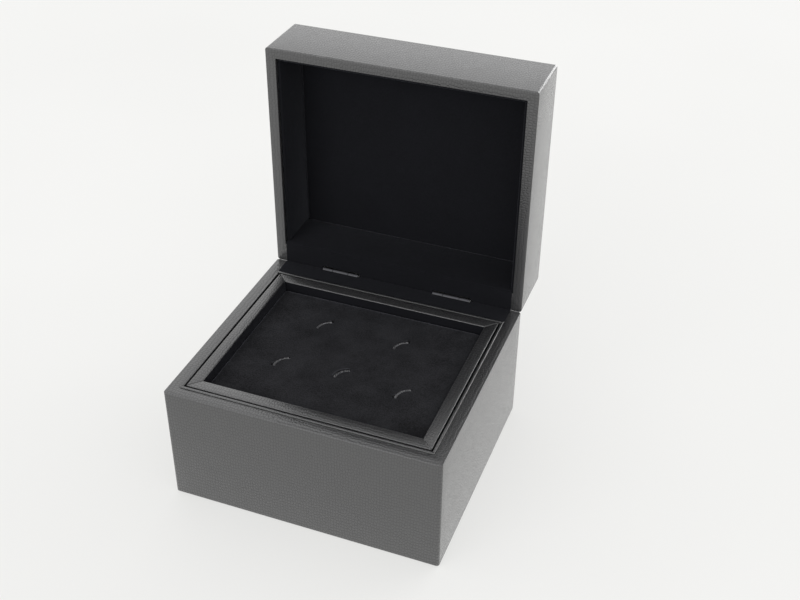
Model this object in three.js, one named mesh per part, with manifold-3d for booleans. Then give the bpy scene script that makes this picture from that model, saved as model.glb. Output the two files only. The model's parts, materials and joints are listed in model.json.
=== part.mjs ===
// A leatherette-covered watch box with a hinged lid, a raised collar and a lift-out tray.
// Millimetres, +Z up. The origin is the centre of the base's underside, +X is to the right
// of somebody who faces the open box, and +Y points to the hinges. The lid stands open.
import * as THREE from "three";
import { mergeVertices } from "three/addons/utils/BufferGeometryUtils.js";
import Module from "manifold-3d";

const wasm = await Module();
wasm.setup();

// ---- Driving dimensions -------------------------------------------------------------
const WIDTH = 150;
const DEPTH = 133.5;
const BASE_HEIGHT = 69;
const LID_HEIGHT = 35.5;
const CLOSING_GAP = 0.5; // between the two rims when the box is shut
const LID_OPEN_DEG = 90;

const SKIN = 0.7; // leatherette on its paper backing
const FIT = 0.1; // air between pieces that are glued or stacked
const CORNER_R = 1.6; // upright outer corners
const EDGE_R = 0.6; // turned edges of the leatherette

const BASE_RIM = 6.2; // width of the base's rim at the front and the sides
const BASE_RIM_REAR = 12.5; // the hinge side is thicker
const BASE_TURN_IN = 20; // how far the leatherette runs down inside the rim
const TURN_UNDER = 12; // and how far it runs under the floor
const SHEET = 0.5; // felt on the underside
const SHEET_INSET = 2;
const FLOOR = 4;

const COLLAR = 1.4; // thickness of the collar boards
const COLLAR_GROOVE = 0.1; // air between the rim and the collar
const COLLAR_RISE = 0.5; // how far the collar stands above the rim
const LINING = 2.4; // velvet-covered boards of the well
const TRAY_SEAT = 54; // height of the ledge that the tray sits on
const FLOOR_PAD = 3;

const TRAY_GAP = 0.95; // air round the tray
const TRAY_TOP = 69.6;
const TRAY_FLOOR = 2.4;
const RAIL = 6.3;
const PAD_RECESS = 5.3; // from the top of the rails down to the pad

const SLIT_SITES = [[-25, 21.2], [21, 19.2], [-33, -16.2], [1, -14.8], [36.5, -17.8]];
const SLIT_CHORD = 10;
const SLIT_RISE = 2.1; // height of the slit's arc over its chord
const SLIT_GAPE = 0.8;
const SLIT_DEPTH = 5;
const SLIT_BULGE_DEG = 145; // the way the arc bows, from +X towards +Y

const LID_RIM = 5.8;
const LID_RIM_REAR = 11.5;
const LID_TURN_IN = 6;
const LID_BOARD = 4.4;
const LID_LINING = 1.6;
const LID_LINING_SETBACK = 2; // from the lid's rim plane to the linings, save at the rear
const LID_PANEL = 3.7;

const CUSHION = { length: 80, depth: 58, height: 37, cornerR: 15, endR: 5 };

const HINGE = {
  pinInset: 0.4, // pin axis inside the back face
  pinDrop: 0.05, // and below the base's rim
  spread: 34, // from the middle of the box to the middle of each hinge
  length: 22,
  leaf: 0.9,
  leafDepth: 8.5, // from the back face into the rim
  barrelR: 1.5,
  pinR: 0.7,
  boreR: 0.8,
  knuckleGap: 0.3,
  midKnuckle: 9.4,
  heel: 3, // the stop behind the barrel, past the pin axis
  heelGap: 0.3,
  screwSpread: 6.5,
  screwSetback: 5, // from the back face to the screws
};
// Velvet strips on the two rear rims: `setback` is from the rim's inner edge.
const COVER = { thickness: 0.15, air: 0.05, setback: 0.3, backGap: { base: 0.35, lid: 0.2 } };
const SCREW = { headR: 1.15, shankR: 0.55, cone: 0.7, length: 4.5, clearance: 0.1 };

// ---- Derived levels and lines -------------------------------------------------------
const HALF_W = WIDTH / 2;
const BACK = DEPTH / 2;
const FRONT = -BACK;
const UNDERSIDE = SHEET; // level of the turned-under leatherette
const BOARD_FOOT = UNDERSIDE + SKIN;
const BOARD_TOP = BASE_HEIGHT - SKIN;
const FLOOR_TOP = BOARD_FOOT + FLOOR;
const COLLAR_TOP = BASE_HEIGHT + COLLAR_RISE;
const PAD_TOP = TRAY_TOP - PAD_RECESS;

const LID_FOOT = BASE_HEIGHT + CLOSING_GAP; // lid levels are those of the shut box
const LID_TOP = LID_FOOT + LID_HEIGHT;
const LID_BOARD_FOOT = LID_FOOT + SKIN;
const LID_CEILING = LID_TOP - SKIN - LID_BOARD;

const PIN_Y = BACK - HINGE.pinInset;
const PIN_Z = BASE_HEIGHT - HINGE.pinDrop;

// How finely the curves are divided, and how close two corners are one.
const SEGMENTS = { bar: 24, screw: 16, corner: 3, edge: 2, cushion: 5, cushionEnd: 3, slit: 8 };
const SAME_POINT = 1e-4;

// ---- Materials ----------------------------------------------------------------------
const material = (name, color, roughness, metalness = 0) =>
  Object.assign(new THREE.MeshStandardMaterial({ color, roughness, metalness }), { name });

const leatherette = material("leatherette", 0x1d1d20, 0.42);
const velvet = material("velvet", 0x0c0c0f, 0.95);
const felt = material("felt", 0x141416, 0.95);
const greyBoard = material("grey_board", 0x5e5a54, 0.85);
const steel = material("black_plated_steel", 0x424245, 0.35, 1);

// ---- Solids -------------------------------------------------------------------------
function toSolid(geometry) {
  const bare = geometry.clone();
  bare.deleteAttribute("normal");
  bare.deleteAttribute("uv");
  const merged = mergeVertices(bare, SAME_POINT);
  const triVerts = new Uint32Array(merged.index.array);
  const vertProperties = merged.attributes.position.array;
  return new wasm.Manifold(new wasm.Mesh({ numProp: 3, vertProperties, triVerts }));
}

function toGeometry(solid) {
  const { numProp, vertProperties, triVerts } = solid.getMesh();
  const geometry = new THREE.BufferGeometry();
  geometry.setAttribute("position", new THREE.BufferAttribute(vertProperties, numProp));
  geometry.setIndex(new THREE.BufferAttribute(triVerts, 1));
  geometry.computeVertexNormals();
  return geometry;
}

// A box given by its lowest and highest corners.
function block([x0, y0, z0], [x1, y1, z1]) {
  const geometry = new THREE.BoxGeometry(x1 - x0, y1 - y0, z1 - z0);
  geometry.translate((x0 + x1) / 2, (y0 + y1) / 2, (z0 + z1) / 2);
  return toSolid(geometry);
}

// A centred box: half width, front and back lines, foot and top levels.
const slab = (halfX, y0, y1, z0, z1) => block([-halfX, y0, z0], [halfX, y1, z1]);

function roundedRectangle(halfX, halfY, radius) {
  const shape = new THREE.Shape();
  shape.absarc(halfX - radius, halfY - radius, radius, 0, Math.PI / 2);
  shape.absarc(radius - halfX, halfY - radius, radius, Math.PI / 2, Math.PI);
  shape.absarc(radius - halfX, radius - halfY, radius, Math.PI, 1.5 * Math.PI);
  shape.absarc(halfX - radius, radius - halfY, radius, 1.5 * Math.PI, 2 * Math.PI);
  return shape;
}

// A box with rounded upright corners and softened top and bottom edges.
function softBox(halfX, y0, y1, z0, z1, cornerR, edgeR) {
  const halfY = (y1 - y0) / 2;
  const section = roundedRectangle(halfX - edgeR, halfY - edgeR, cornerR - edgeR);
  const geometry = new THREE.ExtrudeGeometry(section, {
    depth: z1 - z0 - 2 * edgeR,
    bevelThickness: edgeR,
    bevelSize: edgeR,
    bevelSegments: SEGMENTS.edge,
    curveSegments: SEGMENTS.corner,
  });
  geometry.translate(0, (y0 + y1) / 2, z0 + edgeR);
  return toSolid(geometry);
}

// A round bar along X.
function barAlongX(radius, x0, x1, y, z) {
  const geometry = new THREE.CylinderGeometry(radius, radius, x1 - x0, SEGMENTS.bar);
  geometry.rotateZ(Math.PI / 2);
  geometry.translate((x0 + x1) / 2, y, z);
  return toSolid(geometry);
}

// ---- The scene graph ----------------------------------------------------------------
const box = new THREE.Group();
box.name = "watch_box";

// The lid's pieces are placed in the shut box. The outer group turns them about the pin.
const lidSwing = new THREE.Group();
lidSwing.position.set(0, PIN_Y, PIN_Z);
lidSwing.rotation.x = -THREE.MathUtils.degToRad(LID_OPEN_DEG);
const lid = new THREE.Group();
lid.position.set(0, -PIN_Y, -PIN_Z);
lidSwing.add(lid);

const tray = new THREE.Group();
box.add(tray, lidSwing);

function place(group, name, solid, finish) {
  const mesh = new THREE.Mesh(toGeometry(solid), finish);
  mesh.name = name;
  group.add(mesh);
}

// ---- Hinges: what they cut out of the boards and the leatherette --------------------
const hingeCentres = { left: -HINGE.spread, right: HINGE.spread };
const sideOf = { base: -1, lid: 1 }; // which way from the closing plane each leaf lies

function screwSolid(x, y, faceZ, side, extra = 0) {
  const { headR, shankR, cone, length } = SCREW;
  const profile = [
    [0, -length - extra],
    [shankR + extra, -length - extra],
    [shankR + extra, -cone],
    [headR + extra, 0],
    [0, 0],
  ].map(([r, h]) => new THREE.Vector2(r, h));
  const geometry = new THREE.LatheGeometry(profile, SEGMENTS.screw);
  geometry.rotateX(side < 0 ? Math.PI / 2 : -Math.PI / 2);
  geometry.translate(x, y, faceZ);
  return toSolid(geometry);
}

const leafFace = (half) => (half === "base" ? BASE_HEIGHT : LID_FOOT);
const screwY = BACK - HINGE.screwSetback;
const screwXs = (centre) => [centre - HINGE.screwSpread, centre + HINGE.screwSpread];

// The mortise for one leaf and its barrel, with the pilot holes of its screws.
function hingeMortise(half, centre) {
  const side = sideOf[half];
  const face = leafFace(half);
  const reach = HINGE.length / 2 + HINGE.knuckleGap;
  const depth = (HINGE.leaf + FIT) * side;
  const y0 = BACK - HINGE.leafDepth - FIT;
  const zs = [face - side * EDGE_R, face + depth].sort((a, b) => a - b);
  let cut = block([centre - reach, y0, zs[0]], [centre + reach, BACK + EDGE_R, zs[1]]);
  const barrel = HINGE.barrelR + HINGE.knuckleGap;
  cut = cut.add(barAlongX(barrel, centre - reach, centre + reach, PIN_Y, PIN_Z));
  for (const x of screwXs(centre)) {
    cut = cut.add(screwSolid(x, screwY, face, side, SCREW.clearance));
  }
  return cut;
}

function cutForHinges(solid, half) {
  let result = solid;
  for (const centre of Object.values(hingeCentres)) {
    result = result.subtract(hingeMortise(half, centre));
  }
  return result;
}

// One leaf: a screwed plate, and the knuckles that turn on the pin.
function hingeLeaf(half, centre) {
  const side = sideOf[half];
  const face = leafFace(half);
  const end = HINGE.length / 2;
  const mid = HINGE.midKnuckle / 2;
  const zs = [face, face + side * HINGE.leaf].sort((a, b) => a - b);
  const y0 = BACK - HINGE.leafDepth;
  let leaf = block([centre - end, y0, zs[0]], [centre + end, PIN_Y, zs[1]]);
  const barrelRoom = HINGE.barrelR + HINGE.knuckleGap;
  const outer = mid + HINGE.knuckleGap;
  const mine = half === "base" ? [[-end, -outer], [outer, end]] : [[-mid, mid]];
  const theirs = half === "base" ? [[-outer, outer]] : [[-end, -mid], [mid, end]];
  for (const [x0, x1] of theirs) {
    leaf = leaf.subtract(barAlongX(barrelRoom, centre + x0, centre + x1, PIN_Y, PIN_Z));
  }
  for (const [x0, x1] of mine) {
    leaf = leaf.add(barAlongX(HINGE.barrelR, centre + x0, centre + x1, PIN_Y, PIN_Z));
  }
  if (half === "base") {
    for (const [x0, x1] of mine) leaf = leaf.add(stopHeel(centre + x0, centre + x1));
  }
  leaf = leaf.subtract(barAlongX(HINGE.boreR, centre - end, centre + end, PIN_Y, PIN_Z));
  for (const x of screwXs(centre)) {
    leaf = leaf.subtract(screwSolid(x, screwY, face, side, SCREW.clearance));
  }
  return leaf;
}

// The lid's back face comes down on this heel when the lid is fully open.
function stopHeel(x0, x1) {
  const top = PIN_Z - HINGE.pinInset - HINGE.heelGap;
  const y0 = PIN_Y + HINGE.boreR;
  return block([x0, y0, top - HINGE.leaf], [x1, PIN_Y + HINGE.heel, top]);
}

// Hides the leaves on one of the rear rims, and leaves room for the knuckles.
function hingeCover(half) {
  const side = sideOf[half];
  const near = leafFace(half) - side * COVER.air;
  const zs = [near, near - side * COVER.thickness].sort((a, b) => a - b);
  const y0 = baseRim.y1 + COVER.setback;
  let strip = slab(baseRim.halfX, y0, BACK - COVER.backGap[half], zs[0], zs[1]);
  const reach = HINGE.length / 2 + HINGE.knuckleGap;
  const room = HINGE.barrelR + HINGE.knuckleGap;
  for (const centre of Object.values(hingeCentres)) {
    strip = strip.subtract(barAlongX(room, centre - reach, centre + reach, PIN_Y, PIN_Z));
  }
  return strip;
}

function addHinges() {
  place(box, "base_hinge_cover", hingeCover("base"), velvet);
  place(lid, "lid_hinge_cover", hingeCover("lid"), velvet);

  for (const [side, centre] of Object.entries(hingeCentres)) {
    place(box, `hinge_leaf_base_${side}`, hingeLeaf("base", centre), steel);
    place(lid, `hinge_leaf_lid_${side}`, hingeLeaf("lid", centre), steel);
    const end = HINGE.length / 2;
    const pin = barAlongX(HINGE.pinR, centre - end, centre + end, PIN_Y, PIN_Z);
    place(box, `hinge_pin_${side}`, pin, steel);
    for (const half of ["base", "lid"]) {
      const group = half === "base" ? box : lid;
      screwXs(centre).forEach((x, i) => {
        const screw = screwSolid(x, screwY, leafFace(half), sideOf[half]);
        place(group, `hinge_screw_${half}_${side}_${i + 1}`, screw, steel);
      });
    }
  }
}

// ---- A box shell: boards, and the leatherette that is turned over them --------------
// The inside of a rim: a rectangle set in from the outer faces, wider at the hinges.
function inset(front, rear) {
  return { halfX: HALF_W - front, y0: FRONT + front, y1: BACK - rear };
}

const slabIn = ({ halfX, y0, y1 }, z0, z1) => slab(halfX, y0, y1, z0, z1);
const shrink = ({ halfX, y0, y1 }, by) => ({ halfX: halfX - by, y0: y0 + by, y1: y1 - by });
const outline = inset(0, 0);

// Four boards that stand round a rectangle: the front and rear ones run the full width.
// `rear` may give the rear board a foot of its own, and may cut it for the hinges.
function addFourBoards(group, names, outer, inner, z0, z1, finish, rear = {}) {
  const { foot = z0, cut = (board) => board } = rear;
  const boards = {
    front: slab(outer.halfX, outer.y0, inner.y0, z0, z1),
    rear: cut(slab(outer.halfX, inner.y1, outer.y1, foot, z1)),
    left: block([-outer.halfX, inner.y0 + FIT, z0], [-inner.halfX, inner.y1 - FIT, z1]),
    right: block([inner.halfX, inner.y0 + FIT, z0], [outer.halfX, inner.y1 - FIT, z1]),
  };
  for (const [side, board] of Object.entries(boards)) {
    place(group, names(side), board, finish);
  }
}

// The leatherette of the base or the lid: a skin over the boards that is turned over the
// rim, at the top of the base or the foot of the lid, and runs on inside it by `turnIn`.
// `farHole` is where the leatherette leaves the end away from the rim bare.
function wrapSkin({ foot, top, rimAt, rim, turnIn, farHole }) {
  const outside = shrink(outline, SKIN);
  const skinOut = shrink(rim, -SKIN);
  const turnEnd = rimAt === "top" ? top - turnIn : foot + turnIn;
  let skin = softBox(HALF_W, FRONT, BACK, foot, top, CORNER_R, EDGE_R);
  const [bodyFrom, bodyTo] = rimAt === "top" ? [foot + SKIN, turnEnd] : [turnEnd, top - SKIN];
  const [rimFrom, rimTo] = rimAt === "top" ? [turnEnd, top - SKIN] : [foot + SKIN, turnEnd];
  skin = skin.subtract(slabIn(outside, bodyFrom, bodyTo));
  const behindTurnIn = slabIn(outside, rimFrom, rimTo).subtract(slabIn(skinOut, rimFrom, rimTo));
  skin = skin.subtract(behindTurnIn);
  const [mouthFrom, mouthTo] = rimAt === "top" ? [rimFrom, top] : [foot, rimTo];
  skin = skin.subtract(slabIn(rim, mouthFrom, mouthTo));
  if (farHole) skin = skin.subtract(farHole);
  return skin;
}

// ---- Base ---------------------------------------------------------------------------
const baseRim = inset(BASE_RIM, BASE_RIM_REAR);
const boardsOutside = shrink(outline, SKIN + FIT);
const baseBoardsInside = shrink(baseRim, -SKIN - FIT);

function addBase() {
  const underHole = slabIn(shrink(outline, TURN_UNDER), 0, BOARD_FOOT);
  const skin = wrapSkin({
    foot: UNDERSIDE,
    top: BASE_HEIGHT,
    rimAt: "top",
    rim: baseRim,
    turnIn: BASE_TURN_IN,
    farHole: underHole,
  });
  const foot = BOARD_FOOT + FIT;
  const top = BOARD_TOP - FIT;
  place(box, "base_wrap", cutForHinges(skin, "base"), leatherette);
  addFourBoards(box, (side) => `base_${side}_board`, boardsOutside, baseBoardsInside,
    foot, top, greyBoard, { cut: (board) => cutForHinges(board, "base") });
  const floor = slabIn(shrink(baseBoardsInside, FIT), foot, FLOOR_TOP);
  place(box, "base_floor_board", floor, greyBoard);
  place(box, "base_felt", slabIn(shrink(outline, SHEET_INSET), 0, SHEET), felt);
}

// ---- Collar and well ----------------------------------------------------------------
const collarOutside = shrink(baseRim, COLLAR_GROOVE);
const collarInside = shrink(collarOutside, COLLAR);
const liningOutside = shrink(collarInside, FIT);
const well = shrink(liningOutside, LINING);

function addCollarAndWell() {
  const foot = FLOOR_TOP + FIT;
  addFourBoards(box, (side) => `collar_${side}`, collarOutside, collarInside,
    foot, COLLAR_TOP, leatherette);
  addFourBoards(box, (side) => `well_lining_${side}`, liningOutside, well,
    foot, TRAY_SEAT - FIT, velvet);
  const pad = slabIn(shrink(well, FIT), foot, foot + FLOOR_PAD);
  place(box, "well_floor_pad", pad, velvet);
}

// The cushion lies on the floor pad with its long axis from side to side.
function addCushion() {
  const { length, depth, height, cornerR, endR } = CUSHION;
  const section = roundedRectangle(depth / 2 - endR, height / 2 - endR, cornerR - endR);
  const geometry = new THREE.ExtrudeGeometry(section, {
    depth: length - 2 * endR,
    bevelThickness: endR,
    bevelSize: endR,
    bevelSegments: SEGMENTS.cushionEnd,
    curveSegments: SEGMENTS.cushion,
  });
  geometry.translate(0, 0, endR - length / 2);
  geometry.rotateX(Math.PI / 2);
  geometry.rotateZ(Math.PI / 2);
  const padTop = FLOOR_TOP + FIT + FLOOR_PAD;
  geometry.translate(0, (well.y0 + well.y1) / 2, padTop + FIT + height / 2);
  place(box, "watch_cushion", toSolid(geometry), velvet);
}

// ---- Tray ---------------------------------------------------------------------------
const trayOutside = shrink(collarInside, TRAY_GAP);
const trayInside = shrink(trayOutside, RAIL);

// A straight rail with mitred ends, from one outer corner to the next.
function mitredRail([ax, ay], [bx, by], [cx, cy], [dx, dy]) {
  const shape = new THREE.Shape();
  shape.moveTo(ax, ay);
  shape.lineTo(bx, by);
  shape.lineTo(cx, cy);
  shape.lineTo(dx, dy);
  const geometry = new THREE.ExtrudeGeometry(shape, {
    depth: TRAY_TOP - TRAY_SEAT,
    bevelEnabled: false,
  });
  geometry.translate(0, 0, TRAY_SEAT);
  return toSolid(geometry);
}

function addRails() {
  const corners = ({ halfX, y0, y1 }) => [[-halfX, y0], [halfX, y0], [halfX, y1], [-halfX, y1]];
  const outer = corners(trayOutside);
  const inner = corners(trayInside);
  const out = new THREE.Vector2();
  ["front", "right", "rear", "left"].forEach((side, i) => {
    const j = (i + 1) % outer.length;
    // Each rail ends a hair short of its mitres.
    out.set(outer[j][0] - outer[i][0], outer[j][1] - outer[i][1]).setLength(FIT / 2);
    const from = ([x, y]) => [x + out.x, y + out.y];
    const to = ([x, y]) => [x - out.x, y - out.y];
    const rail = mitredRail(from(outer[i]), to(outer[j]), to(inner[j]), from(inner[i]));
    place(tray, `tray_rail_${side}`, rail, leatherette);
  });
}

// One curved cut in the pad, bowed one way round its chord.
function slit([x, y]) {
  const radius = (SLIT_CHORD * SLIT_CHORD) / (8 * SLIT_RISE) + SLIT_RISE / 2;
  const halfAngle = Math.asin(SLIT_CHORD / 2 / radius);
  const bulge = THREE.MathUtils.degToRad(SLIT_BULGE_DEG);
  const back = radius - SLIT_RISE / 2;
  const cx = x - back * Math.cos(bulge);
  const cy = y - back * Math.sin(bulge);
  const shape = new THREE.Shape();
  shape.absarc(cx, cy, radius + SLIT_GAPE / 2, bulge - halfAngle, bulge + halfAngle);
  shape.absarc(cx, cy, radius - SLIT_GAPE / 2, bulge + halfAngle, bulge - halfAngle, true);
  const geometry = new THREE.ExtrudeGeometry(shape, {
    depth: 2 * SLIT_DEPTH,
    bevelEnabled: false,
    curveSegments: SEGMENTS.slit,
  });
  geometry.translate(0, 0, PAD_TOP - SLIT_DEPTH);
  return toSolid(geometry);
}

function addTray() {
  addRails();
  const bed = shrink(trayInside, FIT);
  const bedTop = TRAY_SEAT + TRAY_FLOOR;
  place(tray, "tray_floor_board", slabIn(bed, TRAY_SEAT, bedTop), greyBoard);
  let pad = slabIn(bed, bedTop + FIT, PAD_TOP);
  for (const site of SLIT_SITES) pad = pad.subtract(slit(site));
  place(tray, "tray_pad", pad, velvet);
}

// ---- Lid ----------------------------------------------------------------------------
const lidRim = inset(LID_RIM, LID_RIM_REAR);
const lidBoardsInside = shrink(lidRim, -SKIN - FIT);
const lidLiningOutside = shrink(lidRim, FIT);
const lidRoom = shrink(lidLiningOutside, LID_LINING);

function addLid() {
  const skin = wrapSkin({
    foot: LID_FOOT,
    top: LID_TOP,
    rimAt: "foot",
    rim: lidRim,
    turnIn: LID_TURN_IN,
  });
  place(lid, "lid_wrap", cutForHinges(skin, "lid"), leatherette);
  addFourBoards(lid, (side) => `lid_${side}_board`, boardsOutside, lidBoardsInside,
    LID_BOARD_FOOT + FIT, LID_CEILING - FIT, greyBoard,
    { cut: (board) => cutForHinges(board, "lid") });
  place(lid, "lid_top_board", slabIn(boardsOutside, LID_CEILING, LID_TOP - SKIN - FIT), greyBoard);
  addFourBoards(lid, (side) => `lid_lining_${side}`, lidLiningOutside, lidRoom,
    LID_FOOT + LID_LINING_SETBACK, LID_CEILING - FIT, velvet, { foot: LID_FOOT + FIT });
  const panelTop = LID_CEILING - FIT;
  const panel = slabIn(shrink(lidRoom, FIT), panelTop - LID_PANEL, panelTop);
  place(lid, "lid_lining_panel", panel, velvet);
}

addBase();
addCollarAndWell();
addCushion();
addTray();
addLid();
addHinges();

export default box;
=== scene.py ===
"""A leatherette watch box: fine meshes, materials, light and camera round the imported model.

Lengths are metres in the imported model's frame: +Z up and +Y towards the hinges, with the lid
standing open. The lid's pieces are built in the shut box and then swung open about the pin.
"""

import json
import math

import bmesh
import bpy
import numpy as np
from mathutils import Matrix, Vector


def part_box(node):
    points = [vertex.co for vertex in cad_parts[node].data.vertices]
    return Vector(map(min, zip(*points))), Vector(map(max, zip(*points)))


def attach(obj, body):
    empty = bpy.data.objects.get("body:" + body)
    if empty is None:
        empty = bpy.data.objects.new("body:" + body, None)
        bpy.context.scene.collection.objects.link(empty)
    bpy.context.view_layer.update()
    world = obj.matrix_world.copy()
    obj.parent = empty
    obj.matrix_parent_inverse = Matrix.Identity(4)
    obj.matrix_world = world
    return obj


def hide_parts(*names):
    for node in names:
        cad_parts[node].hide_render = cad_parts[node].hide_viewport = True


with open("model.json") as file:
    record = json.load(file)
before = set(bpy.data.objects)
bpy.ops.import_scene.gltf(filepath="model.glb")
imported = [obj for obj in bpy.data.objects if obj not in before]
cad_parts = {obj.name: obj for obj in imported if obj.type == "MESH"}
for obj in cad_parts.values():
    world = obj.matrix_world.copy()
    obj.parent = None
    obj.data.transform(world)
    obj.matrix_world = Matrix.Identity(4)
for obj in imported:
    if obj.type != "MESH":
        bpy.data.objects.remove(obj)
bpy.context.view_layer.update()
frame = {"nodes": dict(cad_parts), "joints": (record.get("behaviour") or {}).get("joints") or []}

MM = 0.001

# ---- Sizes that only the looks need -------------------------------------------------
SKIN = 0.7 * MM
GROOVE = 0.1 * MM  # air between the base's rim and the collar
CORNER_R = 1.6 * MM
EDGE_R = 0.4 * MM
INNER_CORNER_R = 0.3 * MM
BASE_TURN_IN = 20 * MM
LID_TURN_IN = 6 * MM
TURN_UNDER = 12 * MM
SIDE_STEPS = 16
CORNER_STEPS = 6

SLITS = [  # centre on the pad, and which end has a short cross cut
    ((-25.0, 21.2), 1),
    ((21.0, 19.2), 1),
    ((-33.0, -16.2), -1),
    ((1.0, -14.8), 0),
    ((36.5, -17.8), -1),
]
SLIT_CHORD = 10.0 * MM
SLIT_RISE = 2.1 * MM
SLIT_BULGE = math.radians(145)
SLIT_HALF_GAPE = 0.45 * MM
SLIT_DEPTH = 2.4 * MM
SLIT_LIP = 0.35 * MM
SLIT_CROSS = 1.7 * MM


# ---- The frame's measures -----------------------------------------------------------
def joint(name):
    return next(j for j in frame["joints"] if j["name"] == name)


PIN = Vector(joint("lid_hinge")["pos_m"])
OPEN_ANGLE = -math.radians(joint("lid_hinge")["range_deg"][0])
SWING = Matrix.Rotation(OPEN_ANGLE, 4, Vector(joint("lid_hinge")["axis"]))
SHUT_TO_OPEN = Matrix.Translation(PIN) @ SWING @ Matrix.Translation(-PIN)
OPEN_TO_SHUT = SHUT_TO_OPEN.inverted()


def shut_box(node):
    """Lowest and highest corners of a lid node when the box is shut."""
    a, b = (OPEN_TO_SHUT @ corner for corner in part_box(node))
    return Vector(map(min, a, b)), Vector(map(max, a, b))


# ---- Mesh helpers -------------------------------------------------------------------
def add_piece(name, mesh, body, finish, replaces=(), move=None):
    """Links a finished mesh as a piece that rides on a body."""
    if move is not None:
        mesh.transform(move)
    piece = bpy.data.objects.new(name, mesh)
    bpy.context.scene.collection.objects.link(piece)
    for one in finish if isinstance(finish, (list, tuple)) else [finish]:
        mesh.materials.append(one)
    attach(piece, body)
    if replaces:
        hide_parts(*replaces)
    return piece


def smooth_by_angle(mesh, degrees=35):
    """Smooth shading, with sharp edges kept where faces meet at more than the angle."""
    mesh.polygons.foreach_set("use_smooth", [True] * len(mesh.polygons))
    mesh.set_sharp_from_angle(angle=math.radians(degrees))


def filleted(points, radii, steps=4, closed=False):
    """A 2D outline with its corners rounded, as a list of points."""
    made = []
    count = len(points)
    for i, (point, radius) in enumerate(zip(points, radii)):
        p = Vector(point)
        if radius <= 0 or (not closed and i in (0, count - 1)):
            made.append(p)
            continue
        before = Vector(points[i - 1]) - p
        after = Vector(points[(i + 1) % count]) - p
        half = before.angle(after) / 2
        reach = radius / math.tan(half)
        start = p + before.normalized() * reach
        end = p + after.normalized() * reach
        centre = p + (before.normalized() + after.normalized()).normalized() * (radius / math.sin(half))
        turn = math.pi - 2 * half
        for k in range(steps + 1):
            f = k / steps
            a = math.sin((1 - f) * turn) / math.sin(turn)
            b = math.sin(f * turn) / math.sin(turn)
            made.append(centre + (start - centre) * a + (end - centre) * b)
    return made


def rounded_ring(low, high, z, radius):
    """A level rounded rectangle: every ring has the same number of points, side by side."""
    corners = [
        (high.x - radius, low.y + radius, -90),
        (high.x - radius, high.y - radius, 0),
        (low.x + radius, high.y - radius, 90),
        (low.x + radius, low.y + radius, 180),
    ]
    points = []
    for k, (cx, cy, start) in enumerate(corners):
        px, py, last = corners[k - 1]
        a = math.radians(last + 90)
        b = math.radians(start)
        side_from = Vector((px + radius * math.cos(a), py + radius * math.sin(a), z))
        side_to = Vector((cx + radius * math.cos(b), cy + radius * math.sin(b), z))
        points += [side_from.lerp(side_to, j / SIDE_STEPS) for j in range(SIDE_STEPS)]
        for j in range(CORNER_STEPS):
            t = math.radians(start + 90 * j / CORNER_STEPS)
            points.append(Vector((cx + radius * math.cos(t), cy + radius * math.sin(t), z)))
    return points


SIDE_ALONG = [Vector((1, 0, 0)), Vector((0, 1, 0)), Vector((-1, 0, 0)), Vector((0, -1, 0))]
GRAIN_SIDE_SHIFT = 0.31  # metres between the grain of one side and that of the next


def side_of(j):
    """Which side of a ring the stretch after point j belongs to: 0 is the front."""
    per_side = SIDE_STEPS + CORNER_STEPS
    return ((j + CORNER_STEPS // 2) // per_side) % len(SIDE_ALONG)


def loft(name, rings, runs, closed=False, caps=()):
    """Quads between rings, with the grain's UVs in metres along each side and up the profile."""
    mesh = bpy.data.meshes.new(name)
    bm = bmesh.new()
    uv = bm.loops.layers.uv.new("grain")
    verts = [[bm.verts.new(p) for p in ring] for ring in rings]
    count = len(rings[0])
    spans = len(rings) if closed else len(rings) - 1
    for i in range(spans):
        k = (i + 1) % len(rings)
        run_after = runs[i + 1]
        for j in range(count):
            n = (j + 1) % count
            corners = [(verts[i][j], runs[i]), (verts[i][n], runs[i]),
                       (verts[k][n], run_after), (verts[k][j], run_after)]
            face = bm.faces.new([vert for vert, _ in corners])
            side = side_of(j)
            for loop, (vert, run) in zip(face.loops, corners):
                loop[uv].uv = (vert.co.dot(SIDE_ALONG[side]) + side * GRAIN_SIDE_SHIFT, run)
    for i in caps:
        face = bm.faces.new(verts[i])
        for loop in face.loops:
            loop[uv].uv = (loop.vert.co.x, loop.vert.co.y)
    bmesh.ops.recalc_face_normals(bm, faces=bm.faces)
    bm.to_mesh(mesh)
    bm.free()
    return mesh


def run_lengths(profile, closed=False):
    """How far along the profile each of its points is, and back at the start if it is closed."""
    points = profile + profile[:1] if closed else profile
    runs = [0.0]
    for a, b in zip(points, points[1:]):
        runs.append(runs[-1] + (b - a).length)
    return runs


def skin_rings(low, high, profile, rim, rear_rim):
    """One ring for each profile point: its x is the inset from the faces, its y is the level.

    Points near the rim's inner edge are set in further at the rear, where the rim is wider.
    """
    rings = []
    for inset, z in profile:
        rear = inset + (rear_rim - rim) if rim / 2 < inset < rim * 1.5 else inset
        ring_low = Vector((low.x + inset, low.y + inset, 0))
        ring_high = Vector((high.x - inset, high.y - rear, 0))
        rings.append(rounded_ring(ring_low, ring_high, z, max(CORNER_R - inset, INNER_CORNER_R)))
    return rings


def cut_away(piece, cutters):
    """Subtracts simple blocks, given by their corners, from a piece one after another."""
    for low, high in cutters:
        bm = bmesh.new()
        for vert in bmesh.ops.create_cube(bm, size=1)["verts"]:
            vert.co = Vector([(a + b) / 2 + c * (b - a) for a, b, c in zip(low, high, vert.co)])
        mesh = bpy.data.meshes.new("cutter")
        bm.to_mesh(mesh)
        bm.free()
        cutter = bpy.data.objects.new("cutter", mesh)
        bpy.context.scene.collection.objects.link(cutter)
        apply_modifier(piece, "BOOLEAN", operation="DIFFERENCE", object=cutter, solver="MANIFOLD")
        bpy.data.objects.remove(cutter)


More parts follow.
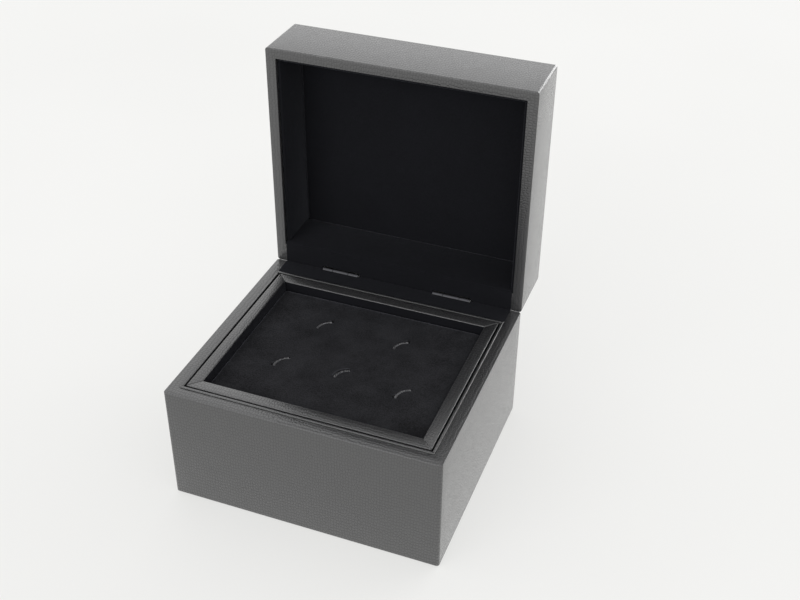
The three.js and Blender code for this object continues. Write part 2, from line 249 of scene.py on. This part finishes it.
def apply_modifier(piece, kind, **settings):
    """Adds one modifier and makes its result the piece's own mesh."""
    modifier = piece.modifiers.new(kind.lower(), kind)
    for key, value in settings.items():
        setattr(modifier, key, value)
    graph = bpy.context.evaluated_depsgraph_get()
    made = bpy.data.meshes.new_from_object(piece.evaluated_get(graph))
    piece.modifiers.clear()
    old = piece.data
    piece.data = made
    made.name = old.name
    bpy.data.meshes.remove(old)


def box_uvs(mesh):
    """The grain's UVs in metres, flat on whichever way each face looks."""
    layer = mesh.uv_layers.new(name="grain")
    for face in mesh.polygons:
        axis = max(range(3), key=lambda i: abs(face.normal[i]))
        u, v = [(1, 2), (0, 2), (0, 1)][axis]
        for corner in face.loop_indices:
            co = mesh.vertices[mesh.loops[corner].vertex_index].co
            layer.data[corner].uv = (co[u], co[v])


SAME_POINT = 0.001 * MM
FLAT_ANGLE = math.radians(2)
SHARP_ANGLE = math.radians(20)


def softened(name, node, radius, segments=3):
    """A CAD board with every edge turned over a small radius."""
    bm = bmesh.new()
    bm.from_mesh(frame["nodes"][node].data)
    bmesh.ops.remove_doubles(bm, verts=bm.verts, dist=SAME_POINT)
    bmesh.ops.dissolve_limit(bm, angle_limit=FLAT_ANGLE, verts=bm.verts, edges=bm.edges)
    sharp = [e for e in bm.edges if e.is_manifold and e.calc_face_angle() > SHARP_ANGLE]
    bmesh.ops.bevel(bm, geom=sharp, offset=radius, segments=segments, profile=0.5,
                    affect="EDGES", clamp_overlap=True)
    mesh = bpy.data.meshes.new(name)
    bm.to_mesh(mesh)
    bm.free()
    box_uvs(mesh)
    smooth_by_angle(mesh)
    return mesh


# ---- Materials ----------------------------------------------------------------------
class Tree:
    """A material's node tree, with short calls for what the materials repeat."""

    def __init__(self, name):
        self.material = bpy.data.materials.new(name)
        self.material.use_nodes = True
        self.nodes = self.material.node_tree.nodes
        self.links = self.material.node_tree.links
        self.shader = self.nodes["Principled BSDF"]

    def put(self, socket, value):
        if isinstance(value, bpy.types.NodeSocket):
            self.links.new(value, socket)
        elif value is not None:
            socket.default_value = value

    def add(self, kind, inputs=None, **settings):
        node = self.nodes.new(kind)
        for key, value in settings.items():
            setattr(node, key, value)
        for key, value in (inputs or {}).items():
            self.put(node.inputs[key], value)
        return node

    def math(self, operation, a, b=None, c=None):
        node = self.add("ShaderNodeMath", operation=operation)
        for socket, value in zip(node.inputs, (a, b, c)):
            self.put(socket, value)
        return node.outputs[0]

    def noise(self, vector, scale, detail=2.0, roughness=0.5):
        inputs = {"Vector": vector, "Scale": scale, "Detail": detail, "Roughness": roughness}
        return self.add("ShaderNodeTexNoise", inputs)

    def ramp(self, value, stops):
        """Interpolates numbers or colours over a value from 0 to 1."""
        node = self.add("ShaderNodeValToRGB", {"Fac": value})
        elements = node.color_ramp.elements
        while len(elements) < len(stops):
            elements.new(0.5)
        for element, (place, shade) in zip(elements, stops):
            element.position = place
            tone = shade if hasattr(shade, "__len__") else (shade, shade, shade)
            element.color = (*tone, 1)
        return node.outputs["Color"]

    def bump(self, height, distance, strength, normal=None):
        inputs = {"Height": height, "Distance": distance, "Strength": strength}
        if normal is not None:
            inputs["Normal"] = normal
        return self.add("ShaderNodeBump", inputs).outputs["Normal"]

    def finish(self, **values):
        for key, value in values.items():
            self.put(self.shader.inputs[key.replace("_", " ").title().replace("Ior", "IOR")], value)
        return self.material


GRAIN_PITCH = (1.5 * MM, 2.1 * MM)  # width and length of one scale
GRAIN_SCATTER = 0.6
GRAIN_CREASE = 0.30
GRAIN_RELIEF = 0.2 * MM
GRAIN_BUMP = 0.6
COAT_BUMP = 0.3
COAT_ROUGHNESS = 0.16
COAT_IOR = 1.6
# The crease colour is much darker than the scale colour: painted shade in the creases between the
# scales.
HIDE_CREASE_SHADE = (0.006, 0.006, 0.007)
HIDE_SCALE = (0.028, 0.028, 0.029)
HIDE_ROUGHNESS = (0.55, 0.34)  # in a crease, and on a scale
HIDE_UNEVENNESS = 0.2


def scale_height(tree):
    """Rounded scales with creases between them, from 0 in a crease to 1 on a scale; the leatherette's
    colour uses it to paint shade into the creases.
    """
    uv = tree.add("ShaderNodeUVMap", uv_map="grain").outputs["UV"]
    per_metre = (1 / GRAIN_PITCH[0], 1 / GRAIN_PITCH[1], 1)
    cells = tree.add("ShaderNodeMapping", {"Vector": uv, "Scale": per_metre})
    inputs = {"Vector": cells.outputs[0], "Scale": 1.0, "Randomness": GRAIN_SCATTER}
    net = tree.add("ShaderNodeTexVoronoi", inputs, voronoi_dimensions="2D",
                   feature="DISTANCE_TO_EDGE")
    across = tree.math("MINIMUM", tree.math("DIVIDE", net.outputs["Distance"], GRAIN_CREASE), 1.0)
    return uv, tree.math("SINE", tree.math("MULTIPLY", across, math.pi / 2))


def leatherette_material():
    tree = Tree("leatherette")
    uv, scales = scale_height(tree)
    patches = tree.noise(uv, 120.0, 3.0).outputs["Fac"]
    fine = tree.noise(uv, 5200.0, 2.0).outputs["Fac"]
    # Colour runs from the dark crease colour up to the scale colour: the darker creases are painted
    # shade.
    colour = tree.ramp(scales, [(0.0, HIDE_CREASE_SHADE), (1.0, HIDE_SCALE)])
    rough = tree.ramp(scales, [(0.0, HIDE_ROUGHNESS[0]), (1.0, HIDE_ROUGHNESS[1])])
    offset = tree.math("SUBTRACT", patches, 0.5)
    uneven = tree.math("MULTIPLY_ADD", offset, HIDE_UNEVENNESS, rough)
    relief = tree.bump(scales, GRAIN_RELIEF, GRAIN_BUMP)
    relief = tree.bump(fine, 0.01 * MM, 0.3, relief)
    tree.put(tree.shader.inputs["Coat Normal"], tree.bump(scales, GRAIN_RELIEF, COAT_BUMP))
    tree.shader.inputs["Coat Weight"].default_value = 1.0
    tree.shader.inputs["Coat Roughness"].default_value = COAT_ROUGHNESS
    tree.shader.inputs["Coat IOR"].default_value = COAT_IOR
    tree.shader.inputs["Specular IOR Level"].default_value = 0.5
    return tree.finish(base_color=colour, roughness=uneven, normal=relief)


BRUSHED_SHARE = 0.6  # how much the brushed patches count beside the pile
BRUSHED_SCALE = 60.0
PILE_SCALE = 1500.0
VELVET_SHINE = 0.15
SHEEN_ROUGHNESS = 0.35
SHEEN_TINT = (0.75, 0.78, 0.9, 1)


def velvet_material(name, low, high, sheen, mottle):
    """Short pile: brushed patches, and a fine uneven surface."""
    tree = Tree(name)
    place = tree.add("ShaderNodeTexCoord").outputs["Object"]
    brushed = tree.noise(place, BRUSHED_SCALE, 5.0, 0.65).outputs["Fac"]
    pile = tree.noise(place, PILE_SCALE, 3.0, 0.75).outputs["Fac"]
    mixed = tree.math("MULTIPLY_ADD", tree.math("SUBTRACT", brushed, 0.5), BRUSHED_SHARE, pile)
    spread = tree.math("MULTIPLY_ADD", tree.math("SUBTRACT", mixed, 0.5), mottle, 0.5)
    colour = tree.ramp(spread, [(0.0, low), (1.0, high)])
    relief = tree.bump(pile, 0.25 * MM, 0.7)
    relief = tree.bump(brushed, 0.8 * MM, 0.25, relief)
    finish = tree.finish(base_color=colour, roughness=0.95, normal=relief)
    inputs = tree.shader.inputs
    inputs["Specular IOR Level"].default_value = VELVET_SHINE
    inputs["Sheen Weight"].default_value = sheen
    inputs["Sheen Roughness"].default_value = SHEEN_ROUGHNESS
    inputs["Sheen Tint"].default_value = SHEEN_TINT
    return finish


def fibre_material(name, dark, light, scale, relief, roughness):
    """Felt, board or a cut cloth edge: mottled fibres."""
    tree = Tree(name)
    place = tree.add("ShaderNodeTexCoord").outputs["Object"]
    fibres = tree.noise(place, scale, 5.0, 0.7).outputs["Fac"]
    colour = tree.ramp(fibres, [(0.3, dark), (0.7, light)])
    normal = tree.bump(fibres, relief, 0.6)
    return tree.finish(base_color=colour, roughness=roughness, normal=normal)


def steel_material():
    """Black-plated metal, brushed along the hinges."""
    tree = Tree("black_plated_steel")
    place = tree.add("ShaderNodeTexCoord").outputs["Object"]
    stretch = tree.add("ShaderNodeMapping", {"Vector": place, "Scale": (0.08, 1.0, 1.0)})
    lines = tree.noise(stretch.outputs[0], 3000.0, 3.0, 0.6).outputs["Fac"]
    rough = tree.ramp(lines, [(0.3, 0.28), (0.7, 0.42)])
    normal = tree.bump(lines, 0.004 * MM, 0.3)
    made = tree.finish(roughness=rough, normal=normal, base_color=(0.055, 0.055, 0.060, 1))
    tree.shader.inputs["Metallic"].default_value = 1.0
    return made


leatherette = leatherette_material()
velvet = velvet_material(
    "velvet", low=(0.0028, 0.003, 0.004), high=(0.0075, 0.0078, 0.0105), sheen=0.16, mottle=0.9)
pad_velvet = velvet_material(
    "pad_velvet", low=(0.001, 0.001, 0.0013), high=(0.020, 0.020, 0.0225), sheen=0.26, mottle=2.6)
cushion_velvet = velvet_material(
    "cushion_velvet", low=(0.002, 0.002, 0.003), high=(0.014, 0.014, 0.015), sheen=0.2, mottle=1.6)
felt = fibre_material(
    "felt", dark=(0.010, 0.010, 0.011), light=(0.022, 0.022, 0.023),
    scale=1800.0, relief=0.3 * MM, roughness=0.95)
grey_board = fibre_material(
    "grey_board", dark=(0.24, 0.22, 0.19), light=(0.36, 0.34, 0.30),
    scale=900.0, relief=0.1 * MM, roughness=0.85)
cut_edge = fibre_material(
    "cut_edge", dark=(0.14, 0.14, 0.145), light=(0.30, 0.30, 0.31),
    scale=2500.0, relief=0.1 * MM, roughness=0.8)
steel = steel_material()


# ---- Leatherette skins --------------------------------------------------------------
HINGE_AIR = 0.25 * MM
BARREL_ROOM = 1.8 * MM  # from the pin's axis to the edge of the room cut for the barrel
LEAF_ROOM = 3 * MM
RIM_ROOM = 1 * MM  # how far a cut runs out through the rim's face
LID_LINING_AIR = 0.1 * MM
LID_CAP_INSET = 2 * MM  # where the lid's side profile passes into its flat top


def hinge_cutters():
    """Blocks that clear each leaf and its barrel, in the open box, for the base and the lid."""
    air = HINGE_AIR
    made = {"base": [], "lid": []}
    for side in ("left", "right"):
        low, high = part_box(f"hinge_leaf_base_{side}")
        leaf_low = Vector((low.x - air, low.y - air, BASE_TOP - SKIN - air))
        leaf_high = Vector((high.x + air, PIN.y + LEAF_ROOM, BASE_TOP + RIM_ROOM))
        made["base"].append((leaf_low, leaf_high))
        barrel_low = Vector((low.x - air, PIN.y - BARREL_ROOM, PIN.z - BARREL_ROOM))
        made["base"].append((barrel_low, leaf_high))
        low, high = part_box(f"hinge_leaf_lid_{side}")
        rim_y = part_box("lid_wrap")[0].y
        leaf_low = Vector((low.x - air, rim_y - RIM_ROOM, PIN.z - LEAF_ROOM))
        leaf_high = Vector((high.x + air, rim_y + SKIN + air, high.z + air))
        made["lid"].append((leaf_low, leaf_high))
        barrel_high = Vector((high.x + air, PIN.y + BARREL_ROOM, PIN.z + BARREL_ROOM))
        made["lid"].append((leaf_low, barrel_high))
    return made


BASE_LOW, BASE_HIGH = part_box("base_wrap")
BASE_TOP = BASE_HIGH.z
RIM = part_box("collar_front")[0].y - BASE_LOW.y - GROOVE
RIM_REAR = BASE_HIGH.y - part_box("collar_rear")[1].y - GROOVE


def base_skin():
    foot, top = BASE_LOW.z, BASE_HIGH.z
    inner = RIM - SKIN
    outline = [
        (TURN_UNDER, foot), (0, foot), (0, top), (RIM, top),
        (RIM, top - BASE_TURN_IN), (inner, top - BASE_TURN_IN), (inner, top - SKIN),
        (SKIN, top - SKIN), (SKIN, foot + SKIN), (TURN_UNDER, foot + SKIN),
    ]
    tight = EDGE_R / 3
    radii = [0, EDGE_R, EDGE_R, EDGE_R / 2, 0, 0, tight, tight, tight, 0]
    profile = filleted(outline, radii, closed=True)
    rings = skin_rings(BASE_LOW, BASE_HIGH, profile, RIM, RIM_REAR)
    mesh = loft("base_leatherette", rings, run_lengths(profile, True), closed=True)
    piece = add_piece("base_leatherette", mesh, "base", leatherette, ["base_wrap"])
    cut_away(piece, hinge_cutters()["base"])
    smooth_by_angle(piece.data)


def lid_skin():
    low, high = shut_box("lid_wrap")
    lining = shut_box("lid_lining_front")[0].y - low.y
    rear_lining = high.y - shut_box("lid_lining_rear")[1].y
    rim = lining - LID_LINING_AIR
    rear_rim = rear_lining - LID_LINING_AIR
    inner = rim - SKIN
    foot, top = low.z, high.z
    outline = [
        (LID_CAP_INSET, top), (0, top), (0, foot), (rim, foot), (rim, foot + LID_TURN_IN),
        (inner, foot + LID_TURN_IN), (inner, foot + SKIN), (SKIN, foot + SKIN),
        (SKIN, top - SKIN), (LID_CAP_INSET, top - SKIN),
    ]
    tight = EDGE_R / 3
    radii = [0, EDGE_R, EDGE_R, EDGE_R, 0, 0, tight, tight, tight, 0]
    profile = filleted(outline, radii)
    rings = skin_rings(low, high, profile, rim, rear_rim)
    mesh = loft("lid_leatherette", rings, run_lengths(profile), caps=(0, len(rings) - 1))
    piece = add_piece("lid_leatherette", mesh, "lid", leatherette,
                      ["lid_wrap"], SHUT_TO_OPEN)
    cut_away(piece, hinge_cutters()["lid"])
    smooth_by_angle(piece.data)


# ---- Boards covered in leatherette or velvet ----------------------------------------
SIDES = ("front", "rear", "left", "right")


def covered_boards():
    groups = [  # name pattern, body, slot, finish, edge radius
        ("collar_{}", "base", "leatherette", leatherette, 0.3 * MM),
        ("tray_rail_{}", "tray", "leatherette", leatherette, 0.4 * MM),
        ("well_lining_{}", "base", "velvet", velvet, 0.9 * MM),
        ("lid_lining_{}", "lid", "velvet", velvet, 0.6 * MM),
    ]
    for pattern, body, slot, finish, radius in groups:
        for side in SIDES:
            node = pattern.format(side)
            name = f"{node}_cover"
            piece = add_piece(name, softened(name, node, radius), body, finish, [node])
            if body == "tray":
                line_inner_face(piece)


NEARBY = 1 * MM


def line_inner_face(rail):
    """The inner face of each rail of the tray takes the dark velvet as a second material."""
    low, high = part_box("tray_pad")
    centre = (low + high) / 2
    rail.data.materials.append(velvet)
    for face in rail.data.polygons:
        inward = face.normal.dot((centre - face.center) * Vector((1, 1, 0)).normalized())
        inside = low.x - NEARBY < face.center.x < high.x + NEARBY
        inside = inside and low.y - NEARBY < face.center.y < high.y + NEARBY
        if inside and inward > 0 and abs(face.normal.z) < 0.1:
            face.material_index = 1


# ---- Padded boards ------------------------------------------------------------------
GRID_STEP = 3 * MM
EASE_STEPS = 8  # lines across a rounded edge
CLOSEST_LINES = 0.02 * MM
DIGITS = 6  # lines are rounded to a micrometre
RIPPLE_ACROSS = 61  # radians per metre, as are the next two
RIPPLE_ALONG = 47
RIPPLE_SLANT = (113, 91)
RIPPLE_PHASE = (1.3, 0.4)
TRAY_PAD = {"roll": 2.6 * MM, "drop": 1.6 * MM, "crown": 0.4 * MM, "waves": 0.05 * MM}
LID_PANEL = {"roll": 3.2 * MM, "drop": 2.4 * MM, "crown": 0.5 * MM, "waves": 0.06 * MM}
WELL_PAD = {"roll": 2 * MM, "drop": 1.4 * MM, "crown": 0.0, "waves": 0.04 * MM}


def graded(low, high, border, step, fine=()):
    """Grid lines: close together by the edges and in the fine spans, wide apart elsewhere."""
    lines = set(np.round(np.arange(low + border, high - border, step), DIGITS))
    for k in range(EASE_STEPS + 1):
        ease = border * (1 - math.cos(k / EASE_STEPS * math.pi / 2))
        lines |= {round(low + ease, DIGITS), round(high - ease, DIGITS)}
    for a, b, pitch in fine:
        lines = {x for x in lines if not a < x < b}
        lines |= set(np.round(np.arange(a, b + pitch / 2, pitch), DIGITS))
    kept = []
    for x in sorted(lines):
        if not kept or x - kept[-1] > CLOSEST_LINES:
            kept.append(x)
    return np.array(kept)


def roll_off(xs, ys, low, high, roll, drop):
    """How far the face falls at its rounded edges."""
    ex = np.minimum(xs - low.x, high.x - xs)
    ey = np.minimum(ys - low.y, high.y - ys)
    tx = np.clip(1 - ex / roll, 0, 1)
    ty = np.clip(1 - ey / roll, 0, 1)
    r = np.clip(np.hypot(tx, ty), 0, 1)
    return drop * (1 - np.sqrt(1 - r * r))


def border_of(nx, ny):
    """The outermost points of a grid in order, counter-clockwise from the first."""
    border = list(range(nx))
    border += [j * nx + nx - 1 for j in range(1, ny)]
    border += [(ny - 1) * nx + i for i in range(nx - 2, -1, -1)]
    border += [j * nx for j in range(ny - 2, 0, -1)]
    return border


def padded_board(name, low, high, shape, up=1, extra=None, fine_x=(), fine_y=()):
    """A flat-backed pad whose face rolls over at the edges; extra(xs, ys) adds to its height."""
    gx = graded(low.x, high.x, shape["roll"], GRID_STEP, fine_x)
    gy = graded(low.y, high.y, shape["roll"], GRID_STEP, fine_y)
    xs, ys = np.meshgrid(gx, gy)
    thick = high.z - low.z
    height = thick - roll_off(xs, ys, low, high, shape["roll"], shape["drop"])
    if extra is not None:
        height = height + extra(xs, ys)
    face_z = low.z + height if up > 0 else high.z - height
    back_z = low.z if up > 0 else high.z
    nx, ny = len(gx), len(gy)
    face = np.stack([xs, ys, face_z], -1).reshape(-1, 3)
    border = border_of(nx, ny)
    back = face[border].copy()
    back[:, 2] = back_z
    faces = [(j * nx + i, j * nx + i + 1, (j + 1) * nx + i + 1, (j + 1) * nx + i)
             for j in range(ny - 1) for i in range(nx - 1)]
    start, count = nx * ny, len(border)
    for k in range(count):
        n = (k + 1) % count
        faces.append((border[n], border[k], start + k, start + n))
    faces.append(tuple(start + k for k in reversed(range(count))))
    mesh = bpy.data.meshes.new(name)
    mesh.from_pydata(np.vstack([face, back]).tolist(), [], faces)
    bm = bmesh.new()
    bm.from_mesh(mesh)
    bmesh.ops.recalc_face_normals(bm, faces=bm.faces)
    bm.to_mesh(mesh)
    bm.free()
    smooth_by_angle(mesh, 60)
    return mesh


def swell(low, high, shape):
    """A gentle crown, with the shallow unevenness of cloth over foam."""
    slant_x, slant_y = RIPPLE_SLANT
    def extra(xs, ys):
        across = (xs - low.x) / (high.x - low.x)
        along = (ys - low.y) / (high.y - low.y)
        dome = np.sqrt(np.clip(np.sin(np.pi * across) * np.sin(np.pi * along), 0, 1))
        across_wave = np.sin(xs * RIPPLE_ACROSS + RIPPLE_PHASE[0])
        along_wave = np.sin(ys * RIPPLE_ALONG + RIPPLE_PHASE[1])
        ripple = across_wave * along_wave + np.sin(xs * slant_x - ys * slant_y)
        return shape["crown"] * dome + shape["waves"] * ripple * dome
    return extra


# ---- The tray's slotted pad ---------------------------------------------------------
SLIT_R = SLIT_CHORD ** 2 / (8 * SLIT_RISE) + SLIT_RISE / 2
SLIT_HALF_ANGLE = math.asin(SLIT_CHORD / 2 / SLIT_R)
FAR_LIP = {"at": 1.1 * MM, "share": 1.0}
NEAR_LIP = {"at": -1.2 * MM, "share": 0.4}
LIP_WIDTH = 0.8 * MM
SLIT_END = (-0.5 * MM, 0.3 * MM)  # where a slit starts and stops fading, past its chord
CROSS_START = (-0.6 * MM, -0.1 * MM)
CROSS_FADE = 0.3 * MM
SLIT_PITCH = 0.25 * MM
SLIT_MARGIN = 2.2 * MM
CUT_TOP = 0.15 * MM
CUT_WIDTH = 1.0 * MM
STEEP = 0.8  # faces whose normals rise less than this are walls of a cut


def slit_frame(xs, ys, site):
    """Distances out from a slit's arc and past its ends."""
    back = SLIT_R - SLIT_RISE / 2
    cx = site[0] * MM - back * math.cos(SLIT_BULGE)
    cy = site[1] * MM - back * math.sin(SLIT_BULGE)
    dx, dy = xs - cx, ys - cy
    angle = np.arctan2(dy, dx) - SLIT_BULGE
    angle = (angle + np.pi) % (2 * np.pi) - np.pi
    out = np.hypot(dx, dy) - SLIT_R
    return out, angle


def smoothstep(x, low, high):
    t = np.clip((x - low) / (high - low), 0, 1)
    return t * t * (3 - 2 * t)


def trench(across, inside):
    """A narrow cut whose far lip stands up a little; inside is 1 along the cut and 0 past it."""
    cut = -SLIT_DEPTH * np.exp(-((across / SLIT_HALF_GAPE) ** 4))
    lips = 0
    for lip in (FAR_LIP, NEAR_LIP):
        bump = np.exp(-(((across - lip["at"]) / LIP_WIDTH) ** 2))
        lips = lips + lip["share"] * SLIT_LIP * bump
    return (cut + lips) * inside


def slit_height(xs, ys):
    total = np.zeros_like(xs)
    for site, cross in SLITS:
        out, angle = slit_frame(xs, ys, site)
        past = np.abs(angle) * SLIT_R - SLIT_CHORD / 2
        inside = 1 - smoothstep(past, *SLIT_END)
        arc = trench(out, inside)
        if cross:
            # Seen from the slit's middle, the upper end lies at a negative angle.
            end = -cross * SLIT_HALF_ANGLE
            over = (angle - end) * SLIT_R
            reach = smoothstep(out, *CROSS_START)
            reach *= 1 - smoothstep(out, SLIT_CROSS - CROSS_FADE, SLIT_CROSS + CROSS_FADE)
            near = np.abs(angle) < 2 * SLIT_HALF_ANGLE
            arc = np.minimum(arc, trench(over, reach * near))
        total = total + arc
    return total


def mark_cut_edges(mesh, top):
    """The pad's cut backing shows on the far wall of each slit."""
    for face in mesh.polygons:
        c = face.center
        if top - SLIT_DEPTH < c.z < top - CUT_TOP and face.normal.z < STEEP:
            for site, _ in SLITS:
                out, angle = slit_frame(np.array(c.x), np.array(c.y), site)
                if 0 < out < CUT_WIDTH and abs(angle) < SLIT_HALF_ANGLE * 1.2:
                    face.material_index = 1


def tray_pad():
    low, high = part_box("tray_pad")
    reach = SLIT_CHORD / 2 + SLIT_MARGIN
    fine_x = sorted((x * MM - reach, x * MM + reach, SLIT_PITCH) for (x, _), _ in SLITS)
    rows = sorted({y for (_, y), _ in SLITS})
    front = [y for y in rows if y < 0]
    back = [y for y in rows if y > 0]
    fine_y = [(min(r) * MM - reach, max(r) * MM + reach, SLIT_PITCH) for r in (front, back)]
    soft = swell(low, high, TRAY_PAD)
    mesh = padded_board("tray_pad_velvet", low, high, TRAY_PAD, 1,
                        lambda xs, ys: soft(xs, ys) + slit_height(xs, ys), fine_x, fine_y)
    finish = [pad_velvet, cut_edge]
    piece = add_piece("tray_pad_velvet", mesh, "tray", finish, ["tray_pad"])
    mark_cut_edges(piece.data, high.z)


def lid_panel():
    low, high = shut_box("lid_lining_panel")
    mesh = padded_board("lid_panel_velvet", low, high, LID_PANEL, -1, swell(low, high, LID_PANEL))
    piece = add_piece("lid_panel_velvet", mesh, "lid", velvet,
                      ["lid_lining_panel"], SHUT_TO_OPEN)


def well_pad():
    low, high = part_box("well_floor_pad")
    mesh = padded_board("well_pad_velvet", low, high, WELL_PAD, 1, swell(low, high, WELL_PAD))
    piece = add_piece("well_pad_velvet", mesh, "base", velvet, ["well_floor_pad"])


# ---- The watch cushion --------------------------------------------------------------
CUSHION_START = 0.93  # the cover swells from this share of the CAD cushion
CUSHION_ROUNDING = 9 * MM
CUSHION_VOXEL = 4 * MM
CUSHION_PRESSURE = 4
CUSHION_FRAMES = 20
CUSHION_CAP = 5 * MM  # no point swells further than this
CUSHION_MARGIN = 0.2 * MM
SEAM = {"inset": 9 * MM, "depth": 1.2 * MM, "width": 1.6 * MM}


def cushion_blank(low, high):
    """A rounded block, a little smaller than the cushion, remeshed evenly."""
    centre = (low + high) / 2
    bm = bmesh.new()
    bmesh.ops.create_cube(bm, size=1)
    size = (high - low) * CUSHION_START
    for vert in bm.verts:
        vert.co = centre + Vector([a * b for a, b in zip(vert.co, size)])
    bmesh.ops.bevel(bm, geom=bm.edges[:], offset=CUSHION_ROUNDING, segments=4, profile=0.5,
                    affect="EDGES")
    mesh = bpy.data.meshes.new("watch_cushion_velvet")
    bm.to_mesh(mesh)
    bm.free()
    return mesh


def watch_cushion():
    low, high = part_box("watch_cushion")
    mesh = cushion_blank(low, high)
    piece = add_piece("watch_cushion_velvet", mesh, "cushion",
                      cushion_velvet, ["watch_cushion"])
    apply_modifier(piece, "REMESH", mode="VOXEL", voxel_size=CUSHION_VOXEL)
    inflate(piece)
    keep_inside(piece, low, high)
    apply_modifier(piece, "SUBSURF", levels=1, render_levels=1)
    sew_end_seams(piece, low, high)
    smooth_by_angle(piece.data, 70)


def inflate(piece):
    """Swells the cover with cloth under pressure, and caps how far each point moves."""
    before = [v.co.copy() for v in piece.data.vertices]
    cloth = piece.modifiers.new("cloth", "CLOTH")
    cloth.settings.use_pressure = True
    cloth.settings.uniform_pressure_force = CUSHION_PRESSURE
    cloth.settings.effector_weights.gravity = 0
    scene = bpy.context.scene
    for n in range(1, CUSHION_FRAMES + 1):
        scene.frame_set(n)
    graph = bpy.context.evaluated_depsgraph_get()
    made = bpy.data.meshes.new_from_object(piece.evaluated_get(graph))
    piece.modifiers.clear()
    scene.frame_set(1)
    for vert, start in zip(made.vertices, before):
        step = vert.co - start
        if step.length > CUSHION_CAP:
            vert.co = start + step.normalized() * CUSHION_CAP
    piece.data = made


def keep_inside(piece, low, high):
    """The cushion rests flat on the floor pad and stays in its own room."""
    for vert in piece.data.vertices:
        for i in range(3):
            bottom, top = low[i] + CUSHION_MARGIN, high[i] - CUSHION_MARGIN
            vert.co[i] = min(max(vert.co[i], bottom), top)


def sew_end_seams(piece, low, high):
    """A shallow stitched channel round each end of the cushion."""
    axis = Vector((0, (low.y + high.y) / 2, (low.z + high.z) / 2))
    for vert in piece.data.vertices:
        side = min(vert.co.x - low.x, high.x - vert.co.x)
        pull = SEAM["depth"] * math.exp(-(((side - SEAM["inset"]) / SEAM["width"]) ** 2))
        away = Vector((0, vert.co.y, vert.co.z)) - axis
        vert.co -= away.normalized() * pull


# ---- Pieces that keep their CAD shape -----------------------------------------------
METAL_EDGE = 0.12 * MM


def finish_cad_nodes():
    """Gives the nodes that stay their materials, and turns the metal's edges a little."""
    for name, node in frame["nodes"].items():
        if node.hide_render:
            continue
        finish = steel if name.startswith("hinge") else grey_board
        finish = velvet if name.endswith("_cover") else finish
        finish = felt if name == "base_felt" else finish
        node.data.materials.clear()
        node.data.materials.append(finish)
        if name.startswith("hinge_leaf"):
            edge = node.modifiers.new("turned edges", "BEVEL")
            edge.width = METAL_EDGE
            edge.segments = 2
            edge.limit_method = "ANGLE"


# ---- Floor, light and camera --------------------------------------------------------
FLOOR_GLOW = 0.58  # the backdrop is lit from behind, so the box throws hardly any shadow
FLOOR_SIZE = 8
FLOOR_SHADES = ((0.24, 0.24, 0.235), (0.26, 0.26, 0.255))
FLOOR_DROP = 0.05 * MM  # keeps the floor and the felt's underside from lying in one plane


def add_floor():
    bpy.ops.mesh.primitive_plane_add(size=FLOOR_SIZE, location=(0, 0, -FLOOR_DROP))
    floor = bpy.context.object
    floor.name = "floor"
    tree = Tree("floor_paper")
    place = tree.add("ShaderNodeTexCoord").outputs["Object"]
    clouds = tree.noise(place, 3.0, 2.0).outputs["Fac"]
    colour = tree.ramp(clouds, [(0.3, FLOOR_SHADES[0]), (0.7, FLOOR_SHADES[1])])
    tree.shader.inputs["Emission Color"].default_value = (1.0, 1.0, 0.985, 1)
    tree.shader.inputs["Emission Strength"].default_value = FLOOR_GLOW
    floor.data.materials.append(tree.finish(base_color=colour, roughness=0.9))


def add_area_light(name, place, aim, size, power):
    light = bpy.data.lights.new(name, "AREA")
    light.shape = "RECTANGLE"
    light.size, light.size_y = size
    light.energy = power
    lamp = bpy.data.objects.new(name, light)
    lamp.location = place
    lamp.rotation_euler = (Vector(aim) - Vector(place)).to_track_quat("-Z", "Y").to_euler()
    lamp.visible_camera = False
    bpy.context.scene.collection.objects.link(lamp)


LIGHTS = [  # name, place, aim, size and power in watts
    ("back_right_box", (1.9, 3.4, 1.15), (0, 0, 0.08), (3.6, 2.0), 70),
    ("back_left_box", (-1.3, 3.2, 2.8), (0, 0, 0.08), (3.6, 2.6), 9),
    ("front_box", (-0.9, -2.6, 1.2), (0, 0, 0.05), (2.6, 1.8), 28),
]
WORLD_STRENGTH = 0.98


def add_lights():
    world = bpy.data.worlds.new("studio")
    world.use_nodes = True
    background = world.node_tree.nodes["Background"]
    background.inputs["Color"].default_value = (1.0, 1.0, 1.0, 1)
    background.inputs["Strength"].default_value = WORLD_STRENGTH
    bpy.context.scene.world = world
    for light in LIGHTS:
        add_area_light(*light)


CAMERA = {"azimuth": 20.59, "elevation": 35.14, "roll": 0.53, "distance": 0.65738}
CAMERA_AIM = Vector((0.0079, 0.05309, 0.069))
CAMERA_LENS = 52.39


def add_camera():
    azimuth, elevation = math.radians(CAMERA["azimuth"]), math.radians(CAMERA["elevation"])
    back = Vector((math.sin(azimuth) * math.cos(elevation),
                   -math.cos(azimuth) * math.cos(elevation), math.sin(elevation)))
    right = Vector((0, 0, 1)).cross(back).normalized()
    up = back.cross(right)
    turn = Matrix((right, up, back)).transposed()
    turn = turn @ Matrix.Rotation(math.radians(CAMERA["roll"]), 3, "Z")
    data = bpy.data.cameras.new("camera")
    data.lens = CAMERA_LENS
    data.sensor_width = 36
    data.clip_start = 0.01
    camera = bpy.data.objects.new("camera", data)
    camera.matrix_world = Matrix.Translation(CAMERA_AIM + back * CAMERA["distance"]) @ turn.to_4x4()
    bpy.context.scene.collection.objects.link(camera)
    bpy.context.scene.camera = camera


# ---- Build --------------------------------------------------------------------------
add_camera()
add_lights()
add_floor()
base_skin()
lid_skin()
covered_boards()
tray_pad()
lid_panel()
well_pad()
watch_cushion()
finish_cad_nodes()
bpy.context.scene.view_settings.view_transform = "Standard"
